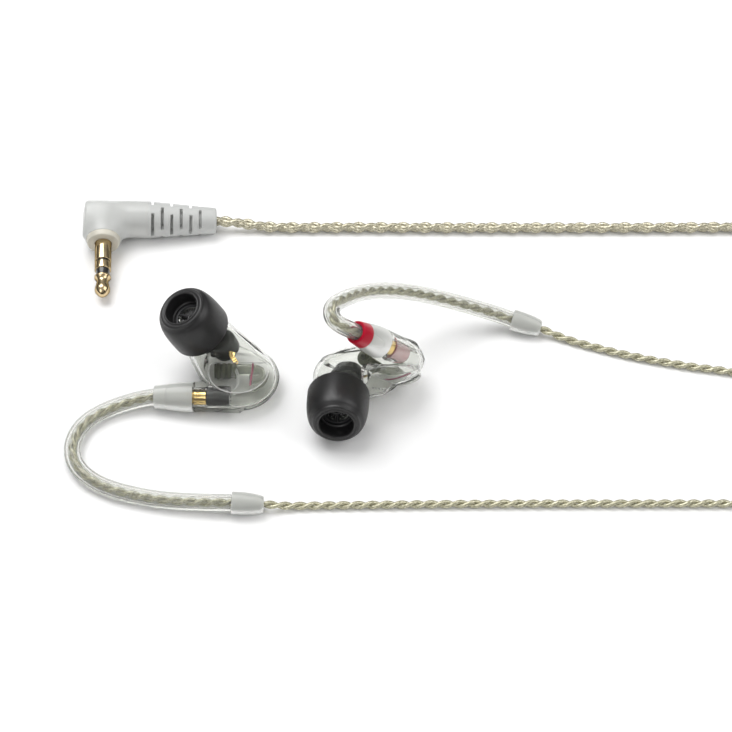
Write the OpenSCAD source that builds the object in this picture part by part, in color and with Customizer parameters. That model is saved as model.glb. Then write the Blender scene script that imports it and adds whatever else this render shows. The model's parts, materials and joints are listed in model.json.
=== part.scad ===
// In ear monitors: two clear earpieces with over-ear hooks, a twisted pair lead
// from each, a chin slider, a Y splitter and a braided main lead that ends in a
// right-angle 3.5 mm jack plug. Millimetres, +Z up, everything lies on z = 0.
// The origin is on the surface, under the middle of the two earpieces and hooks.

/* [Earpiece housing] */
// Radius of the round body, seen from the side that faces the ear
body_r = 7.6; // [7:0.1:8.2]
// Thickness of the round body and diameter of the connector barrel
body_t = 6.1; // [5.8:0.1:6.4]
// Radius of the bulb that holds the driver
bulb_r = 5.3; // [5.1:0.1:5.5]
// Wall thickness of both housing shells
shell_wall = 0.9; // [0.7:0.1:1]
// Outer diameter of the sound nozzle
nozzle_d = 5.8; // [5.4:0.1:6]
// Height that the flat window stands above the round body
window_h = 0.5; // [0.3:0.1:0.8]

/* [Driver] */
// Diameter of the dynamic driver
driver_d = 7; // [6:0.1:7.2]
// Thickness of the driver frame
driver_t = 1.8; // [1.4:0.1:2]

/* [Ear tip] */
// Largest diameter of the silicone tip
tip_d = 12.4; // [11.6:0.1:12.8]
// Diameter of the rim at the mouth
tip_rim_d = 10.2; // [8.8:0.1:10.4]
// Length of the tip along the nozzle
tip_len = 9.1; // [8.6:0.1:10]
// Diameter of the mouth
mouth_d = 6.7; // [6.4:0.1:7]

/* [Connector and ear hook] */
// Length of the connector, side ring included
connector_len = 7.9; // [7.5:0.1:8.5]
// Diameter of the rotating contact barrel
barrel_d = 3.2; // [3:0.1:3.4]
// Outer diameter of the clear hook sleeve
hook_d = 3.3; // [3.1:0.1:3.4]
// Length of the ferrule at the end of each hook
ferrule_len = 6.2; // [5.5:0.1:7]
// Running clearance on the radius of every turning or sliding fit
fit = 0.05; // [0.02:0.01:0.08]

/* [Cords] */
// Diameter of each twisted pair lead
lead_d = 1.7; // [1.5:0.1:1.8]
// Diameter of the braided main lead
main_d = 2.6; // [2.4:0.1:2.8]

/* [Jack plug] */
// Diameter of the jack, a 3.5 mm three-pole plug
jack_d = 3.5; // [3.5:0.1:3.5]
// Length of the jack from the nose of the plug
jack_len = 14; // [13.5:0.1:14.5]
// Diameter of the moulded plug body
plug_d = 7.9; // [7.5:0.1:8.1]
// Length of the slotted strain relief
boot_len = 14.6; // [13:0.2:16]
// Diameter of the strain relief where the cord leaves it
boot_end_d = 5.6; // [4.6:0.1:6]

/* [Hidden] */
SIDES = ["left", "right"];

// Facets on a hull's children and on exact round shapes
hull_fn = 28;
round_fn = 64;
// Overlap that lets a cutter pass right through a face
cut = 0.5;

// Colours
clear_grey = [0.86, 0.87, 0.84, 0.45];
smoke_grey = [0.72, 0.73, 0.70, 0.8];
marker_red = [0.68, 0.06, 0.13];
silicone = [0.10, 0.10, 0.10];
gold = [0.90, 0.68, 0.25];
black = [0.06, 0.06, 0.07];
steel = [0.65, 0.66, 0.68];
cord_silver = [0.72, 0.70, 0.58];
copper = [0.72, 0.42, 0.24];

// ---------- placing the two earpieces ----------
// Each earpiece is drawn with its connector axis on X, its ear side at +Z and the
// origin where the connector meets the housing. The right one is a mirror image.
LEFT_AT = [-22.8, 1.9, 3.1];
LEFT_TURN = [0, -2, -2];
RIGHT_AT = [14.2, 3.9, 16.8];
RIGHT_TURN = [124, 47.8, 28.4];

module at_left() { translate(LEFT_AT) rotate(LEFT_TURN) children(); }
module at_right() { translate(RIGHT_AT) rotate(RIGHT_TURN) mirror([0, 1, 0]) children(); }
module at_ear(side) {
    if (side == "left") at_left() children();
    else at_right() children();
}
// Draws along +X what its children draw along +Z
module along_x() { rotate([0, 90, 0]) children(); }

// ---------- earpiece geometry ----------
edge_r = body_t / 2;
barrel_len = 9.1;
BODY_AT = [barrel_len, 5, 0];
// Middle of the tip's base, and the turn from +Z to the nozzle axis
TIP_AT = [1.4, 11.3, 6.8];
NOZZLE_TURN = [10, -21, 0];
bulb_back = 3.2;
FOOT_AT = [4.5, 11.5, 1.4];
foot_r = 4.2;
RIDGE_AT = [10.2, 8, 3.3];
ridge_r = 3;
nozzle_len = 5.6;
// The ear tip stands this far out from the base plane of the nozzle
tip_out = 0.5;
driver_back = 5.8;
driver_off = 1;

module on_nozzle(s) { translate(TIP_AT) rotate(NOZZLE_TURN) translate([0, 0, s]) children(); }

module puck(shrink) {
    r = edge_r - shrink;
    rotate_extrude($fn = hull_fn + 8)
        union() {
            translate([0, -r]) square([body_r - edge_r, 2 * r]);
            intersection() {
                translate([body_r - edge_r, 0]) circle(r, $fn = hull_fn);
                translate([0, -body_t]) square([2 * body_r, 2 * body_t]);
            }
        }
}

// The solid outline of the housing without its barrel, smaller all round by shrink
module housing_form(shrink) {
    hull() {
        translate(BODY_AT) puck(shrink);
        on_nozzle(-bulb_back) sphere(bulb_r - shrink, $fn = hull_fn);
        translate(FOOT_AT) sphere(foot_r - shrink, $fn = hull_fn);
        translate(RIDGE_AT) sphere(ridge_r - shrink, $fn = hull_fn);
    }
}

socket_from = 2.7;
socket_to = 7.3;
socket_d = 3.7;

module housing_bores() {
    // for the contact barrel
    along_x() translate([0, 0, -cut]) cylinder(d = barrel_d + 2 * fit, h = socket_from + cut);
    // for the socket, as far as the hollow
    along_x() translate([0, 0, socket_from - 0.01]) cylinder(d = socket_d, h = socket_to - socket_from + 0.1);
    // through the nozzle
    on_nozzle(-bulb_back) cylinder(d = nozzle_d - 1.4, h = bulb_back + nozzle_len + cut);
}

module inner_half() { translate([-40, -40, 0]) cube(80); }

window_r = 6;
WINDOW_AT = [8.9, 4];
window_top = 6;

// A round window cut straight across its top, from z = base upwards
module window_form(grow, base, h) {
    translate([0, 0, base])
        linear_extrude(h)
            intersection() {
                translate(WINDOW_AT) circle(window_r + grow);
                translate([0, -10]) square([20, 10 + window_top + grow]);
            }
}

// The hollow keeps a wall under the window and behind its straight edge
module housing_hollow() {
    difference() {
        housing_form(shell_wall);
        window_form(shell_wall, edge_r + window_h - shell_wall, 6);
    }
}

module outer_shell() {
    color(clear_grey)
    difference() {
        union() {
            housing_form(0);
            along_x() cylinder(d = body_t, h = barrel_len);
        }
        housing_hollow();
        housing_bores();
        inner_half();
    }
}

module inner_shell() {
    color(clear_grey)
    difference() {
        union() {
            difference() {
                housing_form(0);
                window_form(0, edge_r + window_h, 6);
            }
            along_x() cylinder(d = body_t, h = barrel_len);
            window_form(0, edge_r - shell_wall, shell_wall + window_h);
            on_nozzle(-bulb_back) cylinder(d = nozzle_d, h = bulb_back + nozzle_len);
        }
        housing_hollow();
        housing_bores();
        mirror([0, 0, 1]) inner_half();
    }
}

module nozzle_mesh() {
    color(steel) on_nozzle(nozzle_len - 0.6) cylinder(d = nozzle_d - 1.5, h = 0.3);
}

module on_driver(s) { on_nozzle(s - driver_back) translate([driver_off, -0.5, 0]) children(); }

module driver_frame() {
    color(black)
    on_driver(0)
        difference() {
            cylinder(d = driver_d, h = driver_t);
            translate([0, 0, 0.5]) cylinder(d = driver_d - 1, h = driver_t);
            translate([0, 0, -cut]) cylinder(d = 4, h = driver_t);
        }
}

module driver_magnet() {
    color(steel) on_driver(-0.7) cylinder(d = 3.96, h = 1.6);
}

module diaphragm() {
    color(copper)
    on_driver(driver_t - 0.5)
        rotate_extrude() polygon([[0, 0], [2, 0.3], [2.9, 0], [2.9, 0.1], [2, 0.4], [0, 0.1]]);
}

// Gold strip from the rim of the driver towards the socket
STRIP_AT = [7.4, 8.5, 2.5];
module flex_strip() {
    color(gold) translate(STRIP_AT) rotate([0, 35, -48]) cube([2.6, 0.8, 0.12], center = true);
}

DAMPER_AT = [3.9, 6.0, 0.2];
module damper() {
    color(smoke_grey)
    translate(DAMPER_AT) along_x()
        difference() {
            cylinder(d = 2.2, h = 3.2);
            translate([0, 0, -cut]) cylinder(d = 1, h = 3.2 + 2 * cut);
        }
}

// ---------- contact and socket ----------
pin_d = 1;

module socket_body(side) {
    color(side == "right" ? [0.72, 0.42, 0.42] : black)
    along_x()
        difference() {
            translate([0, 0, socket_from]) cylinder(d = socket_d - 0.04, h = socket_to - socket_from);
            translate([0, 0, socket_from - cut]) cylinder(d = 2, h = 3.6 + cut);
        }
}

module socket_contact() {
    color(gold)
    along_x()
        difference() {
            translate([0, 0, socket_from]) cylinder(d = 1.96, h = 3.5);
            translate([0, 0, socket_from - cut]) cylinder(d = pin_d + 2 * fit, h = 3.2 + cut);
        }
}

// Two thin wires from the socket to the driver, seen as one bent pair
WIRE_ROUTE = [[7.4, 0.6, 0.2], [8.6, 2.2, 0.6], [8.4, 5, 1.4], [7.2, 7.3, 1.2], [6.2, 8.3, 0.8]];
wire_d = 0.5;
module inner_wires() {
    color(copper) swept_tube(smooth_route(WIRE_ROUTE, 3), wire_d, 6);
}

contact_back = 2.2;
contact_front = 2.6;
module contact_barrel() {
    color(gold)
    along_x() translate([0, 0, -contact_back])
        difference() {
            cylinder(d = barrel_d, h = contact_back + contact_front);
            translate([0, 0, contact_back]) cylinder(d = 2.4, h = contact_front + cut);
            translate([0, 0, -cut]) cylinder(d = pin_d + 0.04, h = contact_back + 2 * cut);
        }
}

module contact_pin() {
    color(gold)
    along_x() {
        translate([0, 0, -contact_back]) cylinder(d = pin_d, h = contact_back + 5);
        translate([0, 0, 5]) cylinder(d1 = pin_d, d2 = pin_d / 2, h = 0.5);
    }
}

// ---------- ear tip ----------
module ear_tip() {
    rim_r = tip_rim_d / 2;
    max_r = tip_d / 2;
    seat_r = nozzle_d / 2 + fit;
    mouth_r = mouth_d / 2;
    guard_at = nozzle_len - tip_out + 0.1;
    color(silicone)
    on_nozzle(tip_out)
        rotate_extrude($fn = round_fn)
            difference() {
                union() {
                    polygon(concat(
                        [[seat_r, 0.2]],
                        [[max_r - 0.5, 0]],
                        // the outside swells from the base, then rounds in to the rim
                        [for (t = [0 : 0.1 : 1]) [
                            rim_r - 0.4 + (max_r - rim_r + 0.4) * sqrt(1 - pow(t, 3)) * (1 - 0.03 * (1 - t)),
                            0.5 + (tip_len - 1.2) * t
                        ]],
                        [[rim_r - 0.5, tip_len], [mouth_r + 0.3, tip_len], [mouth_r, tip_len - 0.4],
                         [mouth_r, guard_at + 0.8], [seat_r, guard_at + 0.8]]
                    ));
                }
                // hollow behind the skirt
                polygon([[4.1, -1], [max_r - 0.9, -1], [max_r - 0.8, 2.5], [5, 4.8], [4.4, 4.8], [4.1, 3.5]]);
                // the stem stands clear of the bulb
                polygon([[0, -1], [4.2, -1], [4.2, 1.55], [0, 1.55]]);
            }
}

// A three-spoked guard across the sound channel
module wax_guard() {
    r = nozzle_d / 2;
    color(black)
    on_nozzle(nozzle_len + 0.1)
        union() {
            difference() {
                cylinder(r = r, h = 0.7);
                translate([0, 0, -cut]) cylinder(r = r - 0.6, h = 0.7 + 2 * cut);
            }
            for (a = [0, 120, 240])
                rotate(a + 30) translate([0, -0.3, 0]) cube([r - 0.3, 0.6, 0.7]);
        }
}

// ---------- connector, ring, hook ----------
ring_len = 2.5;
ring_r = [2.25, 2.55];
bore_hook = hook_d / 2 + 0.02;
hook_in = 3.6;

module connector_shell() {
    from = -connector_len + ring_len;
    color(smoke_grey)
    along_x()
        rotate_extrude($fn = round_fn)
            difference() {
                polygon([[0, from], [ring_r[1], from], [2.8, from + 1.7], [3, from + 3.2],
                         [edge_r, from + 4.6], [edge_r, -0.04], [0, -0.04]]);
                // the hook sleeve's bore
                translate([0, from - cut]) square([bore_hook, cut + connector_len - ring_len - hook_in]);
                // hollow between the sleeve's end and the contact
                translate([0, -hook_in - cut]) square([1.3, 2]);
                // the turning contact's bore
                translate([0, -contact_back - 0.04]) square([barrel_d / 2 + fit, contact_back + cut]);
            }
}

module side_ring(side) {
    color(side == "right" ? marker_red : smoke_grey)
    along_x() translate([0, 0, -connector_len])
        rotate_extrude($fn = round_fn)
            polygon([[bore_hook, 0], [ring_r[0], 0], [ring_r[1], ring_len - 0.02], [bore_hook, ring_len - 0.02]]);
}

// ---------- swept tubes ----------
// A smooth curve through the points of a route, with per sections between two points
function curve_point(p0, p1, p2, p3, t) =
    0.5 * (2 * p1 + (p2 - p0) * t + (2 * p0 - 5 * p1 + 4 * p2 - p3) * t * t
    + (3 * p1 - p0 - 3 * p2 + p3) * t * t * t);
function smooth_route(r, per) = let (n = len(r)) concat(
    [for (i = [0 : n - 2], j = [0 : per - 1])
        curve_point(r[max(i - 1, 0)], r[i], r[i + 1], r[min(i + 2, n - 1)], j / per)],
    [r[n - 1]]);

function unit(v) = v / norm(v);
function heading(p, i) = unit(p[min(i + 1, len(p) - 1)] - p[max(i - 1, 0)]);
// Points of one ring around the path, square to it
function ring_points(p, i, r, sides) = let (
    t = heading(p, i),
    s = unit(cross(t, [0, 0, 1])),
    u = cross(s, t))
    [for (k = [0 : sides - 1]) let (a = 360 * (k + 0.5) / sides) p[i] + r * (cos(a) * s + sin(a) * u)];

// Faces that join ring i to the next one of a tube whose points start at first
function band(first, i, sides, flip) = [for (k = [0 : sides - 1]) let (
    a = first + i * sides + k,
    b = first + i * sides + (k + 1) % sides,
    q = flip ? [b, a, a + sides, b + sides] : [a, b, b + sides, a + sides]) each
    [[q[0], q[1], q[2]], [q[0], q[2], q[3]]]];

module swept_tube(p, d, sides) {
    n = len(p);
    polyhedron(
        points = [for (i = [0 : n - 1]) each ring_points(p, i, d / 2, sides)],
        faces = concat(
            [for (i = [0 : n - 2]) each band(0, i, sides, false)],
            [[for (k = [sides - 1 : -1 : 0]) k]],
            [[for (k = [0 : sides - 1]) (n - 1) * sides + k]]));
}

// A tube with a bore: the outer skin, the inner skin and a ring of faces at each end
module swept_pipe(p, d, bore, sides) {
    n = len(p);
    inner = n * sides;
    last = (n - 1) * sides;
    polyhedron(
        points = concat(
            [for (i = [0 : n - 1]) each ring_points(p, i, d / 2, sides)],
            [for (i = [0 : n - 1]) each ring_points(p, i, bore / 2, sides)]),
        faces = concat(
            [for (i = [0 : n - 2]) each band(0, i, sides, false)],
            [for (i = [0 : n - 2]) each band(inner, i, sides, true)],
            [for (k = [0 : sides - 1]) let (m = (k + 1) % sides) each
                [[m, k, inner + m], [inner + m, k, inner + k]]],
            [for (k = [0 : sides - 1]) let (m = (k + 1) % sides) each
                [[last + k, last + m, inner + last + k], [inner + last + k, last + m, inner + last + m]]]));
}

// Hook routes, from inside the connector to inside the ferrule. The left hook lies
// flat; the right one rises from its connector, bends over and comes down behind it.
LEFT_HOOK = [
    [-27.2, 2.05, 2.95], [-30.9, 2.15, 2.8], [-35, 1.6, 2.2], [-40, -0.3, 1.75], [-43.9, -3.5, 1.7],
    [-45.8, -7.8, 1.7], [-45.7, -12.2, 1.7], [-43.6, -16.2, 1.7], [-39.6, -19.4, 1.7],
    [-34, -21.6, 1.7], [-27.5, -23.1, 1.8], [-20.5, -23.9, 2.1], [-14.8, -24.2, 2.3],
    [-11.8, -24.3, 2.2]
];
RIGHT_HOOK = [
    [11.63, 2.51, 20.02], [9.53, 1.38, 22.65], [8.05, 0.65, 24.4], [6.5, 0.4, 25.75], [5.2, 1.1, 26.7],
    [4.9, 3.2, 26.9], [5.8, 5.8, 26], [7.8, 9, 24.2], [10.5, 12.8, 21.6], [14.5, 16.8, 18.2],
    [19.8, 20.2, 14.3], [25.5, 22.6, 10.3], [31.5, 23.9, 6.8], [37.7, 24, 4.1], [41.2, 23.4, 3],
    [43.9, 22.7, 2.5]
];
function hook_of(side) = side == "left" ? LEFT_HOOK : RIGHT_HOOK;

module hook_sleeve(side) {
    color(clear_grey) swept_pipe(smooth_route(hook_of(side), 2), hook_d, lead_d + 0.3, 12);
}
module hook_cable(side) {
    color(cord_silver) swept_tube(smooth_route(hook_of(side), 2), lead_d, 8);
}

// Puts +Z along the last stretch of a path, at its last point
module at_end(p) {
    v = unit(p[len(p) - 1] - p[len(p) - 2]);
    translate(p[len(p) - 1]) rotate([0, acos(v[2]), atan2(v[1], v[0])]) children();
}

// Ferrules: a cup over the sleeve's end, then a rounded shoulder down to the lead
ferrule_in = 2.4;
module hook_ferrule(side) {
    color(smoke_grey)
    at_end(smooth_route(hook_of(side), 2)) translate([0, 0, -ferrule_in])
        rotate_extrude($fn = round_fn)
            difference() {
                polygon([[0, 0], [2.2, 0], [2.15, 2.6], [1.85, ferrule_len - 1.2],
                         [1.65, ferrule_len - 0.4], [1.3, ferrule_len], [0, ferrule_len]]);
                translate([0, -cut]) square([hook_d / 2 + 0.05, ferrule_in + cut + 0.1]);
                square([lead_d / 2 + 0.15, ferrule_len + cut]);
            }
}

// ---------- where the free cords go ----------
// The leads run to a small coil, past the chin slider and into the splitter; the main
// lead runs through a larger coil and on to the plug.
LEADS_COIL_AT = [126, -12.1];
leads_coil_r = [4.9, 13.9];
leads_coil_h = 3.6;
MAIN_COIL_AT = [113, 32.8];
main_coil_r = [7.5, 20.5];
main_coil_h = 5.3;
tie_t = 0.3;
pair_x = [137.2, 139];
pair_z = 1.3;

LEFT_ROUTE = [
    [-11.7, -24.3, 2.2], [-8, -24.3, 2], [-4, -24.1, 1.2], [2, -23.8, 0.9], [30, -23.4, 0.9],
    [60, -23.3, 0.9], [90, -23.3, 0.9], [119, -23.3, 0.9]
];
RIGHT_ROUTE = [
    [44, 22.68, 2.48], [47.6, 21.7, 1.9], [51, 20.4, 1.1], [56, 18.3, 0.9], [66, 14.9, 0.9],
    [77, 12.2, 0.9], [87, 10.2, 0.9], [95, 6.5, 0.9], [99.5, -0.5, 0.9], [102, -9, 0.9],
    [106, -18.4, 2.1], [109.5, -21.8, 2.9], [112.5, -24, 2.9], [115.5, -25, 2], [119, -25.1, 1.1]
];
// from the coil, under the slider and into the splitter
function pair_route(x) = [[x, -9.5, 2.9], [x, -6, 2.3], [x, -2, 1.5], [x, 1, pair_z], [x, 28, pair_z],
                          [x, 30, pair_z]];
MAIN_ENTRY = [
    [138.1, 39.5, 1.9], [138.1, 43, 1.9], [137.4, 46.6, 1.5], [135.4, 49.6, 1.35],
    [132.4, 51.5, 1.35], [129, 52, 1.35], [119, 52, 1.5]
];
MAIN_ROUTE = [
    [108, 51.7, 3.8], [101, 52.1, 2.4], [93, 52.2, 1.5], [84, 52.2, 1.35], [60, 52.1, 1.35],
    [35, 52.1, 1.35], [10, 52.2, 1.35],
    [-8, 52.2, 1.35], [-13, 52.5, 1.8], [-17.5, 52.7, 2.4], [-21.5, 52.63, 2.84], [-28.5, 52.15, 3.5]
];

module lead(side) {
    x = pair_x[side == "left" ? 0 : 1];
    color(cord_silver) {
        swept_tube(smooth_route(side == "left" ? LEFT_ROUTE : RIGHT_ROUTE, 2), lead_d, 8);
        swept_tube(pair_route(x), lead_d, 8);
    }
}

module main_lead() {
    color(cord_silver) {
        swept_tube(smooth_route(MAIN_ENTRY, 2), main_d, 8);
        swept_tube(smooth_route(MAIN_ROUTE, 2), main_d, 8);
    }
}

module coil_ring(at, r, h) {
    color(cord_silver)
    translate([at[0], at[1], tie_t])
        rotate_extrude($fn = round_fn) translate([r[0], 0]) square([r[1] - r[0], h]);
}
module leads_coil() { coil_ring(LEADS_COIL_AT, leads_coil_r, leads_coil_h); }
module main_coil() { coil_ring(MAIN_COIL_AT, main_coil_r, main_coil_h); }

// A soft tie wrapped once round the side of a coil
module coil_tie(at, r, h, angle) {
    gap = 0.05;
    wide = 4;
    color(black)
    translate([at[0], at[1], 0]) rotate(angle)
        difference() {
            translate([r[0] - 0.8, -wide / 2, 0]) cube([r[1] - r[0] + 1.6, wide, h + 2 * tie_t + gap]);
            translate([r[0] - 0.5, -wide, tie_t]) cube([r[1] - r[0] + 1, 2 * wide, h + gap]);
        }
}
module leads_tie() { coil_tie(LEADS_COIL_AT, leads_coil_r, leads_coil_h, 160); }
module main_tie() { coil_tie(MAIN_COIL_AT, main_coil_r, main_coil_h, 200); }

// ---------- chin slider and splitter ----------
SLIDER_AT = [138.1, 1, 0];
slider_len = 6;
slider_h = 2.9;
module lead_bores(from, to) {
    for (x = pair_x)
        translate([x, from, pair_z]) rotate([-90, 0, 0]) cylinder(d = lead_d + 2 * fit + 0.1, h = to - from);
}

// A pebble that lies flat: a hull of four corner balls cut off at the surface
module pebble(len_y, wide_from, wide_to, h) {
    r = h / 2;
    intersection() {
        hull() {
            for (s = [-1, 1]) {
                translate([s * (wide_from / 2 - r), r, r]) sphere(r, $fn = hull_fn);
                translate([s * (wide_to / 2 - r), len_y - r, r]) sphere(r, $fn = hull_fn);
            }
        }
        translate([-10, 0.3, 0]) cube([20, len_y - 0.6, h]);
    }
}

module chin_slider() {
    color(smoke_grey)
    difference() {
        translate(SLIDER_AT) pebble(slider_len, 6.6, 6.6, slider_h);
        lead_bores(0, 10);
    }
}

SPLITTER_AT = [138.1, 28, 0];
splitter_len = 14;
module y_splitter() {
    color(smoke_grey)
    difference() {
        translate(SPLITTER_AT) pebble(splitter_len, 6.6, 4.6, 3.8);
        lead_bores(27, 30.05);
        translate([138.1, 39.4, 1.9]) rotate([-90, 0, 0]) cylinder(d = main_d + 0.1, h = 5);
    }
}

// ---------- jack plug ----------
// Drawn with the jack along -Y and the cord leaving along +X, then laid on the surface
PLUG_AT = [-44.8, 51, 5.05];
PLUG_TURN = [7, 5.4, 4];
nose_y = 6.9;
arm_len = 9.5;
collar_len = 1.2;
core_d = 4.6;
cord_bore = main_d + 0.12;
// The jack's shank is a little thinner where it is held in the nose
shank_d = 3.1;

module at_plug() { translate(PLUG_AT) rotate(PLUG_TURN) children(); }
// Draws along the jack from the nose: +Z of the children points out of the tip
module on_jack(s) { at_plug() translate([0, -nose_y - s, 0]) rotate([90, 0, 0]) children(); }

module plug_body() {
    color(smoke_grey)
    at_plug()
        difference() {
            union() {
                rotate([90, 0, 0]) cylinder(d = plug_d - 0.6, h = nose_y - collar_len);
                along_x() translate([0, 0, -3.7]) cylinder(d1 = plug_d - 0.4, d2 = plug_d, h = 1);
                along_x() translate([0, 0, -2.7]) cylinder(d = plug_d, h = arm_len + 2.7);
                // a web fills the elbow
                linear_extrude(4, center = true)
                    difference() {
                        translate([2, -4.7]) square([4.1, 2.5]);
                        translate([6.1, -5.2]) circle(2);
                    }
            }
            translate([0, 2.1, 0]) rotate([90, 0, 0]) cylinder(d = core_d + 0.04, h = 2.1 + nose_y);
            along_x() translate([0, 0, 1]) cylinder(d = cord_bore, h = arm_len);
        }
}

module plug_core() {
    color("ivory")
    at_plug()
        difference() {
            translate([0, 2, 0]) rotate([90, 0, 0]) cylinder(d = core_d, h = 2 + nose_y - 2.1);
            along_x() cylinder(d = cord_bore, h = 5);
        }
}

module plug_collar() {
    color([0.88, 0.86, 0.80])
    on_jack(-collar_len)
        difference() {
            cylinder(r1 = plug_d / 2 - 0.3, r2 = plug_d / 2 - 0.6, h = collar_len);
            translate([0, 0, -cut]) cylinder(d = shank_d + 0.04, h = collar_len + 2 * cut);
        }
}

slot_rows = 6;
slot_gap = 2.03;
slot_w = 0.6;
module plug_boot() {
    color(smoke_grey)
    at_plug() along_x() translate([0, 0, arm_len])
        difference() {
            cylinder(d1 = plug_d, d2 = boot_end_d, h = boot_len);
            translate([0, 0, -cut]) cylinder(d = cord_bore, h = boot_len + 2 * cut);
            for (i = [0 : slot_rows - 1], k = [0 : 2])
                translate([0, 0, 0.6 + i * slot_gap])
                    rotate(k * 120 + (i % 2 == 0 ? -41 : 53))
                        rotate_extrude(angle = 84) translate([2.1, 0]) square([3, slot_w]);
        }
}

sleeve_len = 4.9;
ring_from = 5.4;
ring_to = 7.3;
tip_from = 8.8;
stem_d = 1.1;
insul_d = 2.5;
stem_back = 2;

module jack_sleeve() {
    color(gold)
    on_jack(-stem_back)
        difference() {
            union() {
                cylinder(d = shank_d, h = stem_back + cut);
                translate([0, 0, stem_back]) cylinder(d = jack_d, h = sleeve_len);
            }
            translate([0, 0, -cut]) cylinder(d = insul_d, h = 10);
        }
}

module jack_ring() {
    color(gold)
    on_jack(ring_from)
        difference() {
            cylinder(d = jack_d - 0.1, h = ring_to - ring_from);
            translate([0, 0, -cut]) cylinder(d = insul_d, h = 10);
        }
}

module jack_insulators() {
    color(black)
    on_jack(-stem_back)
        difference() {
            union() {
                cylinder(d = insul_d, h = stem_back + tip_from);
                translate([0, 0, stem_back + sleeve_len]) cylinder(d = 3, h = ring_from - sleeve_len);
                translate([0, 0, stem_back + ring_to]) cylinder(d1 = 3, d2 = 2.8, h = tip_from - ring_to);
            }
            translate([0, 0, -cut]) cylinder(d = stem_d, h = 20);
        }
}

module jack_tip() {
    color(gold)
    on_jack(0)
        rotate_extrude($fn = round_fn)
            polygon([[0, -stem_back], [stem_d / 2, -stem_back], [stem_d / 2, tip_from], [1.65, tip_from],
                     [1.7, tip_from + 0.5], [1.25, tip_from + 1], [1.25, tip_from + 1.6],
                     [1.6, jack_len - 1.7], [1.5, jack_len - 1.2], [0.6, jack_len - 0.2],
                     [0.3, jack_len], [0, jack_len]]);
}

for (side = SIDES) {
    at_ear(side) outer_shell();
    at_ear(side) inner_shell();
    at_ear(side) nozzle_mesh();
    at_ear(side) driver_frame();
    at_ear(side) driver_magnet();
    at_ear(side) diaphragm();
    at_ear(side) flex_strip();
    at_ear(side) damper();
    at_ear(side) inner_wires();
    at_ear(side) socket_body(side);
    at_ear(side) socket_contact();
    at_ear(side) contact_barrel();
    at_ear(side) contact_pin();
    at_ear(side) ear_tip();
    at_ear(side) wax_guard();
    at_ear(side) connector_shell();
    at_ear(side) side_ring(side);
    hook_sleeve(side);
    hook_cable(side);
    hook_ferrule(side);
    lead(side);
}
leads_coil();
leads_tie();
chin_slider();
y_splitter();
main_coil();
main_tie();
main_lead();
plug_body();
plug_boot();
plug_collar();
plug_core();
jack_sleeve();
jack_ring();
jack_tip();
jack_insulators();
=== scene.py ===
"""In ear monitors: clear earpieces on ear hooks, twisted leads and an angled jack plug."""

import json
import math

import bmesh
import bpy
import numpy as np
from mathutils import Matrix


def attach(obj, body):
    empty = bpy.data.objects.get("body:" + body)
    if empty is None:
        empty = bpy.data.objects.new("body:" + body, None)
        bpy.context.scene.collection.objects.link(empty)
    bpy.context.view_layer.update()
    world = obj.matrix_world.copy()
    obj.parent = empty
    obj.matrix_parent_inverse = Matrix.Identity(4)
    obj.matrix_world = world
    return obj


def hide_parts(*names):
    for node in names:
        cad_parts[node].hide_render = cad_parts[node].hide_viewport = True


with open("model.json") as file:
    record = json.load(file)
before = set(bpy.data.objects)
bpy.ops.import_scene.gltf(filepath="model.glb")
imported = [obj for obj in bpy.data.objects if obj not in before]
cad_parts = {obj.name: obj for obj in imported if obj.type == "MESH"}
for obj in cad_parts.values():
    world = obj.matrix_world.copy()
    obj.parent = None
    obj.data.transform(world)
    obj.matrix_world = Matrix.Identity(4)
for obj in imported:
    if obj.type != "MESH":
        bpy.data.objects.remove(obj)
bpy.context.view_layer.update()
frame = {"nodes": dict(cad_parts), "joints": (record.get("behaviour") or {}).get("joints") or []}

import openvdb as vdb
from mathutils import Matrix, Vector

MM = 0.001
SIDES = ("left", "right")
JOINTS = {j["name"]: j for j in frame["joints"]}

# ---------- sizes, in millimetres and degrees. The outer ones match the solids ----------
# The housing: a round body, and balls at the driver, the foot and the ridge, in one smooth hull.
BODY_R = 7.6
BODY_T = 6.1
BODY_AT = (9.1, 5.0, 0.0)
BULB_R = 5.3
BULB_BACK = 3.2
FOOT_AT = (4.5, 11.5, 1.4)
FOOT_R = 4.2
RIDGE_AT = (10.2, 8.0, 3.3)
RIDGE_R = 3.0
WALL = 0.9
CONTACT_BORE_R = 1.65
SOCKET_BORE_R = 1.87
PARTING_MID = (7.0, 3.5)
PARTING_GAP = 0.025
# Its flat window: a disc cut straight at the top.
WINDOW_AT = (8.9, 4.0)
WINDOW_R = 6.0
WINDOW_TOP = 6.0
WINDOW_H = 0.5
WINDOW_MID = (8.9, 3.0)
# Its nozzle, and the silicone tip on it, which leans a little on the right.
TIP_AT = (1.4, 11.3, 6.8)
NOZZLE_TURN = (10, -21, 0)
NOZZLE_D = 5.8
NOZZLE_LEN = 5.6
NOZZLE_BORE_R = 2.2
TIP_OUT = 0.5
TIP_LEN = 9.1
TIP_RIM_R = 5.1
TIP_MOST_R = 6.2
TIP_MOUTH_R = 3.35
TIP_LEAN = {"left": 0, "right": 6}
TIP_BENDS_AT = 3.8
# What shows through it.
DRIVER_AT = (2.2, -0.5, -5.8)
STRIP_AT = (7.4, 8.5, 2.5)
DAMPER_AT = (3.7, 6.7, 0.2)
DUCT_R = 1.15
DUCT_BORE_R = 0.72
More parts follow.
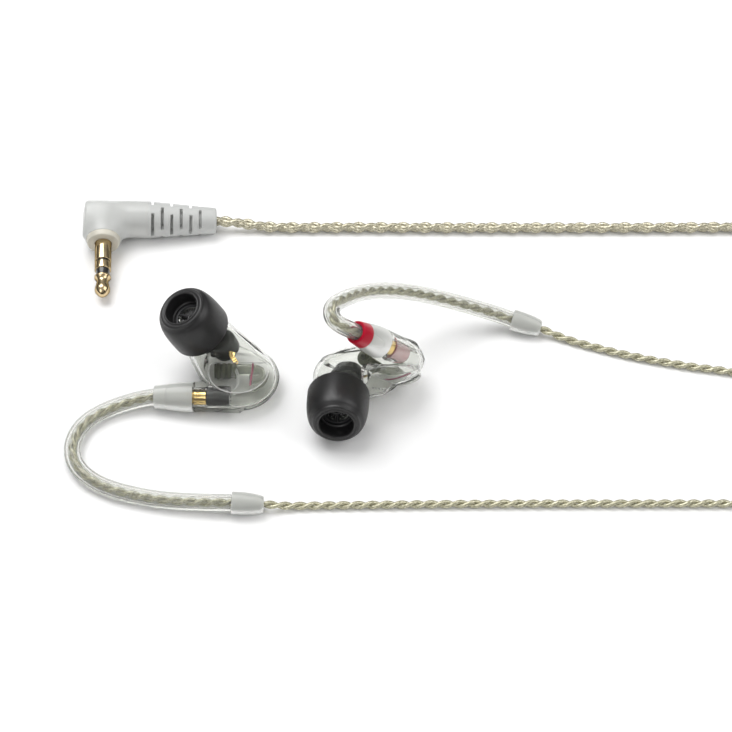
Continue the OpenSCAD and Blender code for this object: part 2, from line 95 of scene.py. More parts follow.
# The cables, their coils and what is on them.
HOOK_D = 3.3
LEAD_D = 1.7
MAIN_D = 2.6
PAIR_PITCH = 5.6
BRAID_PITCH = 9.6
BRAID_MID_R = 0.42
BRAID_WAVE = 0.35
BRAID_STRAND_R = 0.53
PATH_STEP = 0.5
LEADS_COIL_AT = (126.0, -12.1)
LEADS_COIL_R = {"left": 11.2, "right": 13.0}
MAIN_COIL_AT = (113.0, 32.8)
MAIN_COIL_R = 19.2
LAYER_GAP = 0.05
TIE_T = 0.3
TIE_W = 4.0
PAIR_X = {"left": 137.2, "right": 139.0}
PAIR_Z = 1.3
PAIR_BORE_R = 0.95
MAIN_BORE_Z = 1.9
MAIN_BORE_R = 1.36
FERRULE_IN = 2.4
# The plug: its arm along X, its nose and jack along -Y, and the slotted boot after the arm.
PLUG_TURN = (7, 5.4, 4)
PLUG_AT = (-44.8, 51.0, 5.05)
PLUG_R = 3.95
ARM_LEN = 9.5
NOSE_Y = 6.9
NOSE_R = 3.65
CORE_BORE_R = 2.33
COLLAR_T = 1.2
BOOT_LEN = 14.6
BOOT_TAPER = 1.15
SLOT_ROWS = 6
SLOT_PITCH = 2.03
PLUG_STEP = 0.16

# ---------- routes, in millimetres, as in the solids ----------
LEFT_HOOK = [
    (-27.2, 2.05, 2.95), (-30.9, 2.15, 2.8), (-35, 1.6, 2.2), (-40, -0.3, 1.75), (-43.9, -3.5, 1.7),
    (-45.8, -7.8, 1.7), (-45.7, -12.2, 1.7), (-43.6, -16.2, 1.7), (-39.6, -19.4, 1.7),
    (-34, -21.6, 1.7), (-27.5, -23.1, 1.8), (-20.5, -23.9, 2.1), (-14.8, -24.2, 2.3),
    (-11.8, -24.3, 2.2),
]
RIGHT_HOOK = [
    (11.63, 2.51, 20.02), (9.53, 1.38, 22.65), (8.05, 0.65, 24.4), (6.5, 0.4, 25.75), (5.2, 1.1, 26.7),
    (4.9, 3.2, 26.9), (5.8, 5.8, 26), (7.8, 9, 24.2), (10.5, 12.8, 21.6), (14.5, 16.8, 18.2),
    (19.8, 20.2, 14.3), (25.5, 22.6, 10.3), (31.5, 23.9, 6.8), (37.7, 24, 4.1), (41.2, 23.4, 3),
    (43.9, 22.7, 2.5),
]
LEFT_ROUTE = [
    (-11.7, -24.3, 2.2), (-8, -24.3, 2), (-4, -24.1, 1.2), (2, -23.8, 0.9), (30, -23.4, 0.9),
    (60, -23.3, 0.9), (90, -23.3, 0.9), (119, -23.3, 0.9),
]
RIGHT_ROUTE = [
    (44, 22.68, 2.48), (47.6, 21.7, 1.9), (51, 20.4, 1.1), (56, 18.3, 0.9), (66, 14.9, 0.9),
    (77, 12.2, 0.9), (87, 10.2, 0.9), (95, 6.5, 0.9), (99.5, -0.5, 0.9), (102, -9, 0.9),
    (106, -18.4, 2.1), (109.5, -21.8, 2.9), (112.5, -24, 2.9), (115.5, -25, 2), (119, -25.1, 1.1),
]
MAIN_ENTRY = [
    (138.1, 39.5, 1.9), (138.1, 43, 1.9), (137.4, 46.6, 1.5), (135.4, 49.6, 1.35),
    (132.4, 51.5, 1.35), (129, 52, 1.35), (119, 52, 1.5),
]
MAIN_ROUTE = [
    (108, 51.7, 3.8), (101, 52.1, 2.4), (93, 52.2, 1.5), (84, 52.2, 1.35), (60, 52.1, 1.35),
    (35, 52.1, 1.35), (10, 52.2, 1.35), (-8, 52.2, 1.35), (-13, 52.5, 1.8), (-17.5, 52.7, 2.4),
    (-21.5, 52.63, 2.84), (-28.5, 52.15, 3.5),
]


# ---------- small helpers ----------
def unit(v):
    v = np.asarray(v, float)
    return v / np.linalg.norm(v)


def unit_rows(v):
    """Each row of v at length one."""
    return v / np.linalg.norm(v, axis=1)[:, None]


def around(n):
    """Angles evenly round a circle."""
    return np.linspace(0, 2 * math.pi, n, endpoint=False)


def catmull(points, per):
    """A smooth curve through the points, with per sections between two of them."""
    p = np.asarray(points, float)
    out = []
    for i in range(len(p) - 1):
        a, b, c, d = p[max(i - 1, 0)], p[i], p[i + 1], p[min(i + 2, len(p) - 1)]
        for j in range(per):
            t = j / per
            out.append(
                0.5 * (2 * b + (c - a) * t + (2 * a - 5 * b + 4 * c - d) * t * t
                       + (3 * b - a - 3 * c + d) * t ** 3)
            )
    out.append(p[-1])
    return np.array(out)


def lengths(path):
    """How far along the path each of its points lies."""
    return np.concatenate([[0], np.cumsum(np.linalg.norm(np.diff(path, axis=0), axis=1))])


def even(path, step):
    """The same path with points an even step apart."""
    p = np.asarray(path, float)
    s = lengths(p)
    n = max(2, int(round(s[-1] / step)) + 1)
    t = np.linspace(0, s[-1], n)
    return np.stack([np.interp(t, s, p[:, k]) for k in range(3)], axis=1)


def relax(path, rounds):
    """Rounds the corners of an even path and keeps its ends."""
    p = path.copy()
    for _ in range(rounds):
        p[1:-1] = 0.25 * p[:-2] + 0.5 * p[1:-1] + 0.25 * p[2:]
    return p


def frames(path):
    """Tangents and two normals along a path, turned as little as possible between points."""
    t = unit_rows(np.gradient(path, axis=0))
    start = np.cross(t[0], (0, 0, 1)) if abs(t[0][2]) < 0.9 else np.cross(t[0], (0, 1, 0))
    n = [unit(start)]
    for k in range(1, len(t)):
        v = n[-1] - t[k] * np.dot(n[-1], t[k])
        n.append(unit(v))
    n = np.array(n)
    return t, n, np.cross(t, n)


def mesh_piece(name, verts, faces, mat, uvs=None, smooth=True, sharp=None):
    """A mesh object from points in metres."""
    me = bpy.data.meshes.new(name)
    me.from_pydata([tuple(v) for v in np.asarray(verts).tolist()], [], faces)
    me.update()
    if uvs is not None:
        layer = me.uv_layers.new(name="UVMap")
        loops = np.zeros(len(me.loops), dtype=np.int32)
        me.loops.foreach_get("vertex_index", loops)
        layer.data.foreach_set("uv", np.asarray(uvs, np.float32)[loops].ravel())
    if smooth:
        me.polygons.foreach_set("use_smooth", [True] * len(me.polygons))
    if sharp is not None:
        me.set_sharp_from_angle(angle=math.radians(sharp))
    me.materials.append(mat)
    ob = bpy.data.objects.new(name, me)
    bpy.context.scene.collection.objects.link(ob)
    return ob


def ring_faces(rings, sides, closed=False):
    """Quads between rings of points."""
    out = []
    for i in range(rings if closed else rings - 1):
        a, b = i * sides, (i + 1) % rings * sides
        for k in range(sides):
            m = (k + 1) % sides
            out.append((a + k, a + m, b + m, b + k))
    return out


def tube(path, radius, sides, caps=True):
    """Points, faces and (around, along) coordinates of a round tube."""
    t, n, b = frames(path)
    r = np.broadcast_to(radius, (len(path),))
    a = around(sides)
    pts = path[:, None] + r[:, None, None] * (
        np.cos(a)[None, :, None] * n[:, None] + np.sin(a)[None, :, None] * b[:, None])
    uv = np.stack([np.broadcast_to(a / (2 * math.pi), (len(path), sides)),
                   np.broadcast_to(lengths(path)[:, None], (len(path), sides))], axis=-1)
    faces = ring_faces(len(path), sides)
    if caps:
        last = (len(path) - 1) * sides
        faces.append(tuple(reversed(range(sides))))
        faces.append(tuple(last + k for k in range(sides)))
    return pts.reshape(-1, 3), faces, uv.reshape(-1, 2)


def hollow_tube(path, r_out, r_in, sides=24):
    """A round tube with a bore and flat ends, as points, faces and (around, along) coordinates."""
    outer, out_faces, out_uv = tube(path, r_out, sides, caps=False)
    inner, in_faces, in_uv = tube(path, r_in, sides, caps=False)
    n = len(outer)
    last = n - sides
    around = [(k, (k + 1) % sides) for k in range(sides)]
    ends = [(k, n + k, n + m, m) for k, m in around]
    ends += [(last + k, last + m, n + last + m, n + last + k) for k, m in around]
    faces = out_faces + [tuple(i + n for i in reversed(f)) for f in in_faces] + ends
    return np.concatenate([outer, inner]), faces, np.concatenate([out_uv, in_uv])


def join(parts):
    """Several (points, faces, uv) as one."""
    pts, faces, uvs = [], [], []
    base = 0
    for p, f, u in parts:
        pts.append(p)
        uvs.append(u)
        faces += [tuple(i + base for i in face) for face in f]
        base += len(p)
    return np.concatenate(pts), faces, np.concatenate(uvs)


def lathe(profile, sides=64):
    """Points, faces and uv of a closed outline of (radius, z) turned about +Z."""
    prof = np.asarray(profile, float)
    a = around(sides)
    pts = np.stack([prof[:, None, 0] * np.cos(a), prof[:, None, 0] * np.sin(a),
                    np.broadcast_to(prof[:, None, 1], (len(prof), sides))], axis=-1)
    uv = np.stack([np.broadcast_to(a / (2 * math.pi), (len(prof), sides)),
                   np.broadcast_to(np.arange(len(prof))[:, None], (len(prof), sides))], axis=-1)
    faces = ring_faces(len(prof), sides, closed=True)
    return pts.reshape(-1, 3), faces, uv.reshape(-1, 2)


def rounded(corners, r):
    """A closed outline of (radius, z) corners, each rounded by r or by the corner's own third value."""
    steps = 4
    out = []
    n = len(corners)
    for i in range(n):
        p = np.array(corners[i][:2], float)
        q = np.array(corners[i - 1][:2], float) - p
        s = np.array(corners[(i + 1) % n][:2], float) - p
        rad = corners[i][2] if len(corners[i]) > 2 else r
        lq, ls = np.linalg.norm(q), np.linalg.norm(s)
        q, s = q / lq, s / ls
        half = 0.5 * math.acos(float(np.clip(np.dot(q, s), -0.9999, 0.9999)))
        cut = min(rad / math.tan(half), 0.45 * lq, 0.45 * ls)
        if cut < 1e-4:
            out.append(p)
            continue
        for k in range(steps + 1):
            t = k / steps
            out.append((1 - t) ** 2 * (p + q * cut) + 2 * t * (1 - t) * p + t * t * (p + s * cut))
    return np.array(out)


def rot(ax, ay, az):
    """A turn about X, then Y, then Z, in degrees."""
    a, b, c = (math.radians(v) for v in (ax, ay, az))
    rx = np.array([[1, 0, 0], [0, math.cos(a), -math.sin(a)], [0, math.sin(a), math.cos(a)]])
    ry = np.array([[math.cos(b), 0, math.sin(b)], [0, 1, 0], [-math.sin(b), 0, math.cos(b)]])
    rz = np.array([[math.cos(c), -math.sin(c), 0], [math.sin(c), math.cos(c), 0], [0, 0, 1]])
    return rz @ ry @ rx


NOZZLE_ROT = rot(*NOZZLE_TURN)
NOZZLE_DIR = NOZZLE_ROT @ np.array([0, 0, 1.0])


def ear_place(side):
    """(matrix, offset in mm) from an earpiece's own axes to the frame, found from its joints' axes."""
    x = unit(JOINTS[side + "_swivel"]["axis"])
    n = unit(JOINTS[side + "_tip_off"]["axis"])
    at = np.array(JOINTS[side + "_swivel"]["pos_m"]) / MM

    def basis(p, q, flip):
        e3 = unit(q - np.dot(p, q) * p)
        return np.stack([p, flip * np.cross(e3, p), e3], axis=1)

    m = basis(x, n, -1 if side == "right" else 1) @ basis(np.array([1.0, 0, 0]), NOZZLE_DIR, 1).T
    return m, at


EAR = {s: ear_place(s) for s in SIDES}


def in_ear(side, pts):
    m, at = EAR[side]
    return (np.asarray(pts, float) @ m.T + at) * MM


def on_nozzle(pts, at):
    """What is drawn along +Z, moved by at and laid along the nozzle from its root."""
    return (np.asarray(pts, float) + np.array(at)) @ NOZZLE_ROT.T + np.array(TIP_AT)


def along_x(pts):
    """What is drawn along +Z, laid along +X."""
    p = np.asarray(pts, float)
    return np.stack([p[:, 2], p[:, 1], -p[:, 0]], axis=1)


def flip_faces(faces):
    return [tuple(reversed(f)) for f in faces]


def finish_piece(ob, body, nodes=()):
    """Puts a piece on its body, in place of its CAD nodes."""
    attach(ob, body)
    if nodes:
        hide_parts(*nodes)


# ---------- materials ----------
def material(name, color, rough, **sockets):
    """A Principled material and its nodes. sockets are the shader's own values."""
    mat = bpy.data.materials.new(name)
    mat.use_nodes = True
    bsdf = mat.node_tree.nodes["Principled BSDF"]
    bsdf.inputs["Base Color"].default_value = (*color, 1)
    bsdf.inputs["Roughness"].default_value = rough
    for key, value in sockets.items():
        bsdf.inputs[key.replace("_", " ")].default_value = value
    return mat, mat.node_tree, bsdf


def noise(tree, scale, detail, stretch=None):
    """A noise pattern in the piece's own coordinates."""
    tc = tree.nodes.new("ShaderNodeTexCoord")
    tex = tree.nodes.new("ShaderNodeTexNoise")
    tex.inputs["Scale"].default_value = scale
    tex.inputs["Detail"].default_value = detail
    src = tc.outputs["Object"]
    if stretch:
        mp = tree.nodes.new("ShaderNodeMapping")
        mp.inputs["Scale"].default_value = stretch
        tree.links.new(src, mp.inputs["Vector"])
        src = mp.outputs["Vector"]
    tree.links.new(src, tex.inputs["Vector"])
    return tex.outputs["Fac"]


def ramp(tree, fac, stops):
    """A colour ramp over (position, colour or grey value)."""
    node = tree.nodes.new("ShaderNodeValToRGB")
    el = node.color_ramp.elements
    while len(el) < len(stops):
        el.new(0.5)
    for e, (pos, col) in zip(el, stops):
        e.position = pos
        e.color = (*col, 1) if hasattr(col, "__len__") else (col, col, col, 1)
    tree.links.new(fac, node.inputs["Fac"])
    return node.outputs["Color"]


def paint(tree, bsdf, socket, fac, stops):
    """Drives one of the shader's sockets from a pattern through a ramp."""
    tree.links.new(ramp(tree, fac, stops), bsdf.inputs[socket])


def bump(tree, bsdf, height, strength, distance):
    """Relief from a height pattern. distance is in metres."""
    node = tree.nodes.new("ShaderNodeBump")
    node.inputs["Strength"].default_value = strength
    node.inputs["Distance"].default_value = distance
    tree.links.new(height, node.inputs["Height"])
    tree.links.new(node.outputs["Normal"], bsdf.inputs["Normal"])


def clear_material(name, tint, rough, transmission, ior, speck=0.03):
    """Clear moulded plastic, with a faint cloudiness in its colour and a fine polish."""
    mat, tree, bsdf = material(name, tint, rough, Transmission_Weight=transmission, IOR=ior)
    low = tuple(c * (1 - speck) for c in tint)
    paint(tree, bsdf, "Base Color", noise(tree, 260, 3), [(0.3, low), (0.7, tint)])
    polish = [(0.2, max(rough - 0.01, 0)), (0.8, rough + 0.01)]
    paint(tree, bsdf, "Roughness", noise(tree, 300, 1), polish)
    return mat


def metal_material(name, color, rough, dark=0.75, edge=(1, 1, 1)):
    """Polished plated metal with fine turning marks and slight tarnish."""
    # edge tints the reflection at grazing angles; a dark edge is a painted dark reflection there.
    mat, tree, bsdf = material(name, color, rough, Metallic=1.0, Specular_Tint=(*edge, 1))
    low = tuple(c * dark for c in color)
    paint(tree, bsdf, "Base Color", noise(tree, 700, 4), [(0.35, low), (0.6, color)])
    fine = noise(tree, 2400, 3, stretch=(1, 1, 0.15))
    paint(tree, bsdf, "Roughness", fine, [(0.2, rough * 0.6), (0.8, rough * 1.5)])
    return mat


def satin_material(name, color, rough, grain=1500, height=0.00001, coat=0.0, **sockets):
    """Moulded plastic or rubber with a fine grain and mottled sheen."""
    mat, tree, bsdf = material(name, color, rough, Coat_Weight=coat, **sockets)
    low = tuple(c * 0.85 for c in color)
    paint(tree, bsdf, "Base Color", noise(tree, 400, 4), [(0.3, low), (0.7, color)])
    fine = noise(tree, grain, 3)
    paint(tree, bsdf, "Roughness", fine, [(0.3, rough - 0.05), (0.7, rough + 0.05)])
    bump(tree, bsdf, fine, 0.25, height)
    return mat


def strand_material(name, bright, dark, gap_shade, metallic):
    """Fine drawn wires seen through a clear skin: streaks along each strand, and painted shade in the
    gaps between them.
    """
    mat, tree, bsdf = material(name, bright, 0.32, Metallic=metallic, Coat_Weight=0.6,
                               Coat_Roughness=0.12)
    uv = tree.nodes.new("ShaderNodeTexCoord").outputs["UV"]
    mp = tree.nodes.new("ShaderNodeMapping")
    mp.inputs["Scale"].default_value = (9, 0.9, 1)
    mp.inputs["Rotation"].default_value = (0, 0, 0.35)
    tree.links.new(uv, mp.inputs["Vector"])
    streak = tree.nodes.new("ShaderNodeTexNoise")
    streak.inputs["Scale"].default_value = 2.2
    streak.inputs["Detail"].default_value = 3
    tree.links.new(mp.outputs["Vector"], streak.inputs["Vector"])
    streaks = streak.outputs["Fac"]
    # gap_shade is painted shade: the low end of the streak pattern is darkened as if shaded between the
    # wires.
    paint(tree, bsdf, "Base Color", streaks, [(0.25, gap_shade), (0.45, dark), (0.62, bright)])
    bump(tree, bsdf, streaks, 0.5, 0.00004)
    return mat


M = {
    "shell": clear_material("clear_housing", (0.905, 0.913, 0.885), 0.05, 0.975, 1.17),
    # rim: a whiter, less clear bead round the window, a painted highlight along its edge.
    "rim": clear_material("painted_highlight_bead", (0.93, 0.93, 0.91), 0.10, 0.6, 1.3),
    "sleeve": clear_material("clear_sleeve", (0.88, 0.885, 0.85), 0.05, 0.93, 1.28),
    "connector": clear_material("connector_plastic", (0.64, 0.65, 0.615), 0.32, 0.42, 1.40, speck=0.0),
    "milky": clear_material("milky_plastic", (0.70, 0.71, 0.69), 0.30, 0.30, 1.42),
    "boot": clear_material("boot_rubber", (0.67, 0.68, 0.665), 0.34, 0.25, 1.42),
    "red": clear_material("red_ring", (0.46, 0.004, 0.025), 0.30, 0.10, 1.25),
    "pink": clear_material("pink_socket", (0.60, 0.22, 0.24), 0.25, 0.35, 1.4),
    "duct": clear_material("duct_wall", (0.66, 0.68, 0.60), 0.12, 0.85, 1.25),
    "damper": clear_material("damper_plastic", (0.13, 0.14, 0.09), 0.3, 0.35, 1.2),
    "silicone": satin_material("black_silicone", (0.012, 0.0115, 0.012), 0.40),
    "guard": satin_material("guard_plastic", (0.03, 0.03, 0.032), 0.35),
    "black": satin_material("black_plastic", (0.010, 0.010, 0.011), 0.35),
    "driver": satin_material("driver_can", (0.010, 0.012, 0.007), 0.4),
    "spacer": satin_material("spacer_plastic", (0.02, 0.018, 0.015), 0.25, coat=0.5),
    "gold": metal_material("gold_plate", (0.95, 0.68, 0.28), 0.16),
    # jack_plate's near-black edge tint is a painted dark reflection along the jack's edges.
    "pale_gold": metal_material("jack_plate", (0.70, 0.55, 0.33), 0.14, edge=(0.10, 0.07, 0.04)),
    "steel": metal_material("steel", (0.55, 0.55, 0.55), 0.25),
    "seam": satin_material("parting_line", (0.16, 0.16, 0.15), 0.5),
    "mark": clear_material("red_mark", (0.50, 0.13, 0.22), 0.4, 0.5, 1.1),
    "tie": satin_material("tie", (0.025, 0.025, 0.027), 0.7, grain=2500, height=0.00004),
    "collar": satin_material("nose_collar", (0.66, 0.63, 0.54), 0.35),
    "ivory": satin_material("ivory_core", (0.70, 0.66, 0.56), 0.4),
    # The third colour of pair and braid is painted shade for the gaps between wires.
    "pair": strand_material("twisted_pair", (0.72, 0.69, 0.52), (0.36, 0.345, 0.22),
                            (0.06, 0.055, 0.025), 0.5),
    "braid": strand_material("braided_lead", (0.74, 0.70, 0.55), (0.36, 0.33, 0.22),
                             (0.06, 0.05, 0.025), 0.55),
}


# ---------- camera ----------
def make_camera():
    """Looks at the middle of the layout from the front, 48 degrees above it."""
    elevation = math.radians(48)
    distance = 0.415
    target = Vector((0.0115, 0.013, 0.0))
    cam = bpy.data.objects.new("camera", bpy.data.cameras.new("camera"))
    cam.data.lens = 100
    cam.data.sensor_width = 36
    cam.data.clip_start = 0.01
    cam.location = target + distance * Vector((0, -math.cos(elevation), math.sin(elevation)))
    cam.rotation_euler = (math.pi / 2 - elevation, 0, 0)
    bpy.context.scene.collection.objects.link(cam)
    bpy.context.scene.camera = cam


make_camera()


# ---------- cords ----------
def coil_turns(at, start_angle, r_from, pitch, turns_in, turns_out, z_low, z_high):
    """A coil in two layers: in on the lower layer, up in a quarter turn and out on the upper one."""
    per_turn = 36
    rise = 0.25
    total = turns_in + rise + turns_out
    pts = []
    for k in range(int(total * per_turn) + 1):
        turn = k / per_turn
        inward = min(turn, turns_in)
        outward = max(0.0, turn - turns_in - rise)
        climb = min(max((turn - turns_in) / rise, 0.0), 1.0)
        r = r_from - pitch * inward + pitch * outward
        a = math.radians(start_angle) + 2 * math.pi * turn
        z = z_low + (z_high - z_low) * climb * climb * (3 - 2 * climb)
        pts.append((at[0] + r * math.cos(a), at[1] + r * math.sin(a), z))
    return np.array(pts)


def lead_path(side):
    """The whole free lead, from its ferrule through the coil and the chin slider into the splitter."""
    route = catmull(LEFT_ROUTE if side == "left" else RIGHT_ROUTE, 8)
    route[:, 2] = np.maximum(route[:, 2], LEAD_D / 2 + 0.03)
    low = TIE_T + LEAD_D / 2
    coil = coil_turns(LEADS_COIL_AT, start_angle=-90, r_from=LEADS_COIL_R[side], pitch=3.6,
                      turns_in=1.5, turns_out=1.5, z_low=low, z_high=low + LEAD_D + LAYER_GAP)
    x = PAIR_X[side]
    tail = [(x, -9.5, 2.9), (x, -6, 2.3), (x, -2, 1.5), (x, 1, PAIR_Z), (x, 28, PAIR_Z),
            (x, 30, PAIR_Z)]
    whole = np.concatenate([route, coil[2:-1], catmull(tail, 4)])
    return relax(even(whole, PATH_STEP), 10)


def main_path():
    """The whole main lead, from the splitter through the coil to the plug."""
    low = TIE_T + MAIN_D / 2
    coil = coil_turns(MAIN_COIL_AT, start_angle=90, r_from=MAIN_COIL_R, pitch=MAIN_D,
                      turns_in=4, turns_out=3.75, z_low=low, z_high=low + MAIN_D + LAYER_GAP)
    whole = np.concatenate([catmull(MAIN_ENTRY, 6), coil[3:-2], catmull(MAIN_ROUTE, 8)])
    return relax(even(whole, PATH_STEP), 12)


def strand_set(path, offsets, radius, sides):
    """Strands that wind round a path. Each of offsets gives a strand's place across the path."""
    t, n, b = frames(path)
    parts = []
    for across in offsets:
        u, v = across(lengths(path))
        parts.append(tube(path + u[:, None] * n + v[:, None] * b, radius, sides))
    return join(parts)


def twisted_pair(path, sides=8):
    """Two strands in a left-handed twist."""
    r = LEAD_D / 4

    def strand(phase):
        def across(s):
            a = phase - 2 * math.pi * s / PAIR_PITCH
            return r * np.cos(a), r * np.sin(a)
        return across

    return strand_set(path, [strand(0), strand(math.pi)], r * 0.98, sides)


def round_braid(path):
    """Four strands in a round braid: two wind each way and pass over and under each other."""
    def strand(way, phase):
        def across(s):
            w = 2 * math.pi * s / BRAID_PITCH
            r = BRAID_MID_R + way * BRAID_WAVE * np.cos(2 * w)
            a = way * w + phase
            return r * np.cos(a), r * np.sin(a)
        return across

    strands = [strand(way, phase) for way in (1, -1) for phase in (0, math.pi)]
    return strand_set(path, strands, BRAID_STRAND_R, 8)


def make_cords():
    """The two twisted leads and the braided main lead, each at its full length."""
    cords = {}
    for side in SIDES:
        path = lead_path(side)
        pts, faces, uv = twisted_pair(path)
        ob = mesh_piece(f"{side}_lead_cord", pts * MM, faces, M["pair"], uv)
        nodes = [f"{side}_lead"] + (["leads_coil"] if side == "left" else [])
        finish_piece(ob, "cable_set", nodes)
        cords[side] = (ob, path)
    path = main_path()
    pts, faces, uv = round_braid(path)
    ob = mesh_piece("main_cord", pts * MM, faces, M["braid"], uv)
    finish_piece(ob, "cable_set", ["main_lead", "main_coil"])
    cords["main"] = (ob, path)
    return cords


CORDS = make_cords()


def hook_of(side):
    return LEFT_HOOK if side == "left" else RIGHT_HOOK


def make_hook(side):
    """The clear sleeve of an ear hook and the twisted pair inside it."""
    path = relax(even(catmull(hook_of(side), 8), 0.35), 6)
    pts, faces, uv = hollow_tube(path, HOOK_D / 2, LEAD_D / 2 + 0.15)
    sleeve = mesh_piece(f"{side}_sleeve", pts * MM, faces, M["sleeve"], uv, sharp=50)
    finish_piece(sleeve, "cable_set", [f"{side}_hook_sleeve"])
    pts, faces, uv = twisted_pair(path, 10)
    pair = mesh_piece(f"{side}_hook_pair", pts * MM, faces, M["pair"], uv)
    finish_piece(pair, "cable_set", [f"{side}_hook_cable"])


for side in SIDES:
    make_hook(side)


# ---------- solids from distance fields ----------
def axes(lo, hi, step):
    """The coordinates of a grid of points, ready to broadcast against each other."""
    x, y, z = (np.arange(a, b + step, step) for a, b in zip(lo, hi))
    return x[:, None, None], y[None, :, None], z[None, None, :]


def field_mesh(field, lo, step):
    """Points and quads of the surface where the field is zero. It is negative inside."""
    field = np.clip(field, -5, 5).astype(np.float32)
    grid = vdb.FloatGrid(5.0)
    grid.copyFromArray(field)
    grid.transform = vdb.createLinearTransform(voxelSize=step)
    pts, quads = grid.convertToQuads(isovalue=0.0)
    faces = [tuple(q) for q in np.asarray(quads).tolist()]
    return np.asarray(pts, float) + np.asarray(lo, float), faces


def soft_min(a, b, k):
    """The lower of two fields, blended over a width of about k."""
    h = np.clip(0.5 + 0.5 * (b - a) / k, 0, 1)
    return b * (1 - h) + a * h - k * h * (1 - h)


def soft_max(a, b, k):
    return -soft_min(-a, -b, k)


def rod(x, y, z, a, b, r):
    """Distance to a cylinder from a to b."""
    a, b = np.asarray(a, float), np.asarray(b, float)
    d = unit(b - a)
    s = (x - a[0]) * d[0] + (y - a[1]) * d[1] + (z - a[2]) * d[2]
    q = (x - a[0]) ** 2 + (y - a[1]) ** 2 + (z - a[2]) ** 2 - s ** 2
    return np.maximum(np.sqrt(np.maximum(q, 0)) - r, np.maximum(-s, s - np.linalg.norm(b - a)))


def ball_points(at, r, n):
    """Points spread evenly over a ball."""
    k = np.arange(n) + 0.5
    up = 1 - 2 * k / n
    a = math.pi * (1 + 5 ** 0.5) * k
    flat = np.sqrt(1 - up ** 2)
    return np.asarray(at) + r * np.stack([flat * np.cos(a), flat * np.sin(a), up], axis=1)


def puck_points():
    """Points over the rounded edge of the round body."""
    r = BODY_T / 2
    a, b = np.meshgrid(around(72), np.linspace(-math.pi / 2, math.pi / 2, 21))
    q = BODY_R - r + r * np.cos(b)
    pts = np.stack([q * np.cos(a), q * np.sin(a), r * np.sin(b)], axis=-1).reshape(-1, 3)
    return pts + np.asarray(BODY_AT)


def hull_planes(pts):
    """Outward normals and offsets of the convex hull's faces."""
    bm = bmesh.new()
    for p in pts:
        bm.verts.new(p)
    got = bmesh.ops.convex_hull(bm, input=bm.verts)
    faces = [g for g in got["geom"] if isinstance(g, bmesh.types.BMFace)]
    bmesh.ops.recalc_face_normals(bm, faces=faces)
    mid = pts.mean(axis=0)
    n = np.array([f.normal[:] for f in faces])
    d = np.array([f.verts[0].co[:] for f in faces])
    off = (n * d).sum(axis=1)
    flip = np.sign(off - n @ mid)
    bm.free()
    return n * flip[:, None], off * flip


def spread(coarse, n_out, axis, ratio):
    """Linear interpolation of a grid along one axis."""
    t = np.arange(n_out) / ratio
    i = np.minimum(t.astype(int), coarse.shape[axis] - 2)
    w = (t - i).reshape([-1 if k == axis else 1 for k in range(3)])
    return np.take(coarse, i, axis=axis) * (1 - w) + np.take(coarse, i + 1, axis=axis) * w


HOUSING_LO = (-5.0, -4.0, -4.4)
HOUSING_HI = (17.8, 18.2, 14.2)
HOUSING_STEP = 0.2


def body_field(shape):
    """Distance to the smooth hull of the round body, the driver's bulb, the foot and the ridge."""
    bulb = np.array(TIP_AT) - BULB_BACK * NOZZLE_DIR
    n, off = hull_planes(np.concatenate([
        puck_points(), ball_points(bulb, BULB_R, 900), ball_points(FOOT_AT, FOOT_R, 600),
        ball_points(RIDGE_AT, RIDGE_R, 400)]))
    ratio = 2
    counts = [int(c / ratio) + 2 for c in shape]
    at = [np.arange(c) * HOUSING_STEP * ratio + lo for c, lo in zip(counts, HOUSING_LO)]
    pts = np.stack(np.meshgrid(*at, indexing="ij"), axis=-1).reshape(-1, 3)
    coarse = np.concatenate([(chunk @ n.T - off).max(axis=1) for chunk in np.array_split(pts, 40)])
    coarse = coarse.reshape(counts)
    for axis in range(3):
        coarse = spread(coarse, shape[axis], axis, ratio)
    return coarse


def window_field(x, y):
    """Distance to the window's D shaped outline, seen along Z."""
    disc = np.hypot(x - WINDOW_AT[0], y - WINDOW_AT[1]) - WINDOW_R
    return soft_max(disc, y - WINDOW_TOP, 0.9)


def housing_shell():
    """The whole clear shell of an earpiece in its own axes, with its hollow, bores and flat window."""
    x, y, z = axes(HOUSING_LO, HOUSING_HI, HOUSING_STEP)
    shape = np.broadcast(x, y, z).shape
    hull = body_field(shape)
    face = BODY_T / 2 + WINDOW_H
    window = window_field(x, y)
    nozzle_from = np.array(TIP_AT) - BULB_BACK * NOZZLE_DIR
    nozzle_to = np.array(TIP_AT) + NOZZLE_LEN * NOZZLE_DIR
    outer = soft_min(hull, rod(x, y, z, (-0.02, 0, 0), (9.1, 0, 0), BODY_T / 2), 1.2)
    outer = np.minimum(outer, soft_max(window, np.maximum(z - face, 1 - z), 0.25))
    outer = soft_max(outer, -np.maximum(window, face - z), 0.2)
    outer = soft_min(outer, rod(x, y, z, nozzle_from, nozzle_to, NOZZLE_D / 2), 0.8)
    hollow = np.maximum(hull + WALL, -np.maximum(window - WALL, face - WALL - z))
    hollow = np.minimum(hollow, rod(x, y, z, (-1, 0, 0), (2.7, 0, 0), CONTACT_BORE_R))
    hollow = np.minimum(hollow, rod(x, y, z, (2.6, 0, 0), (7.4, 0, 0), SOCKET_BORE_R))
    hollow = np.minimum(hollow, rod(x, y, z, nozzle_from, nozzle_to + NOZZLE_DIR, NOZZLE_BORE_R))
    return field_mesh(np.maximum(outer, -hollow), HOUSING_LO, HOUSING_STEP)


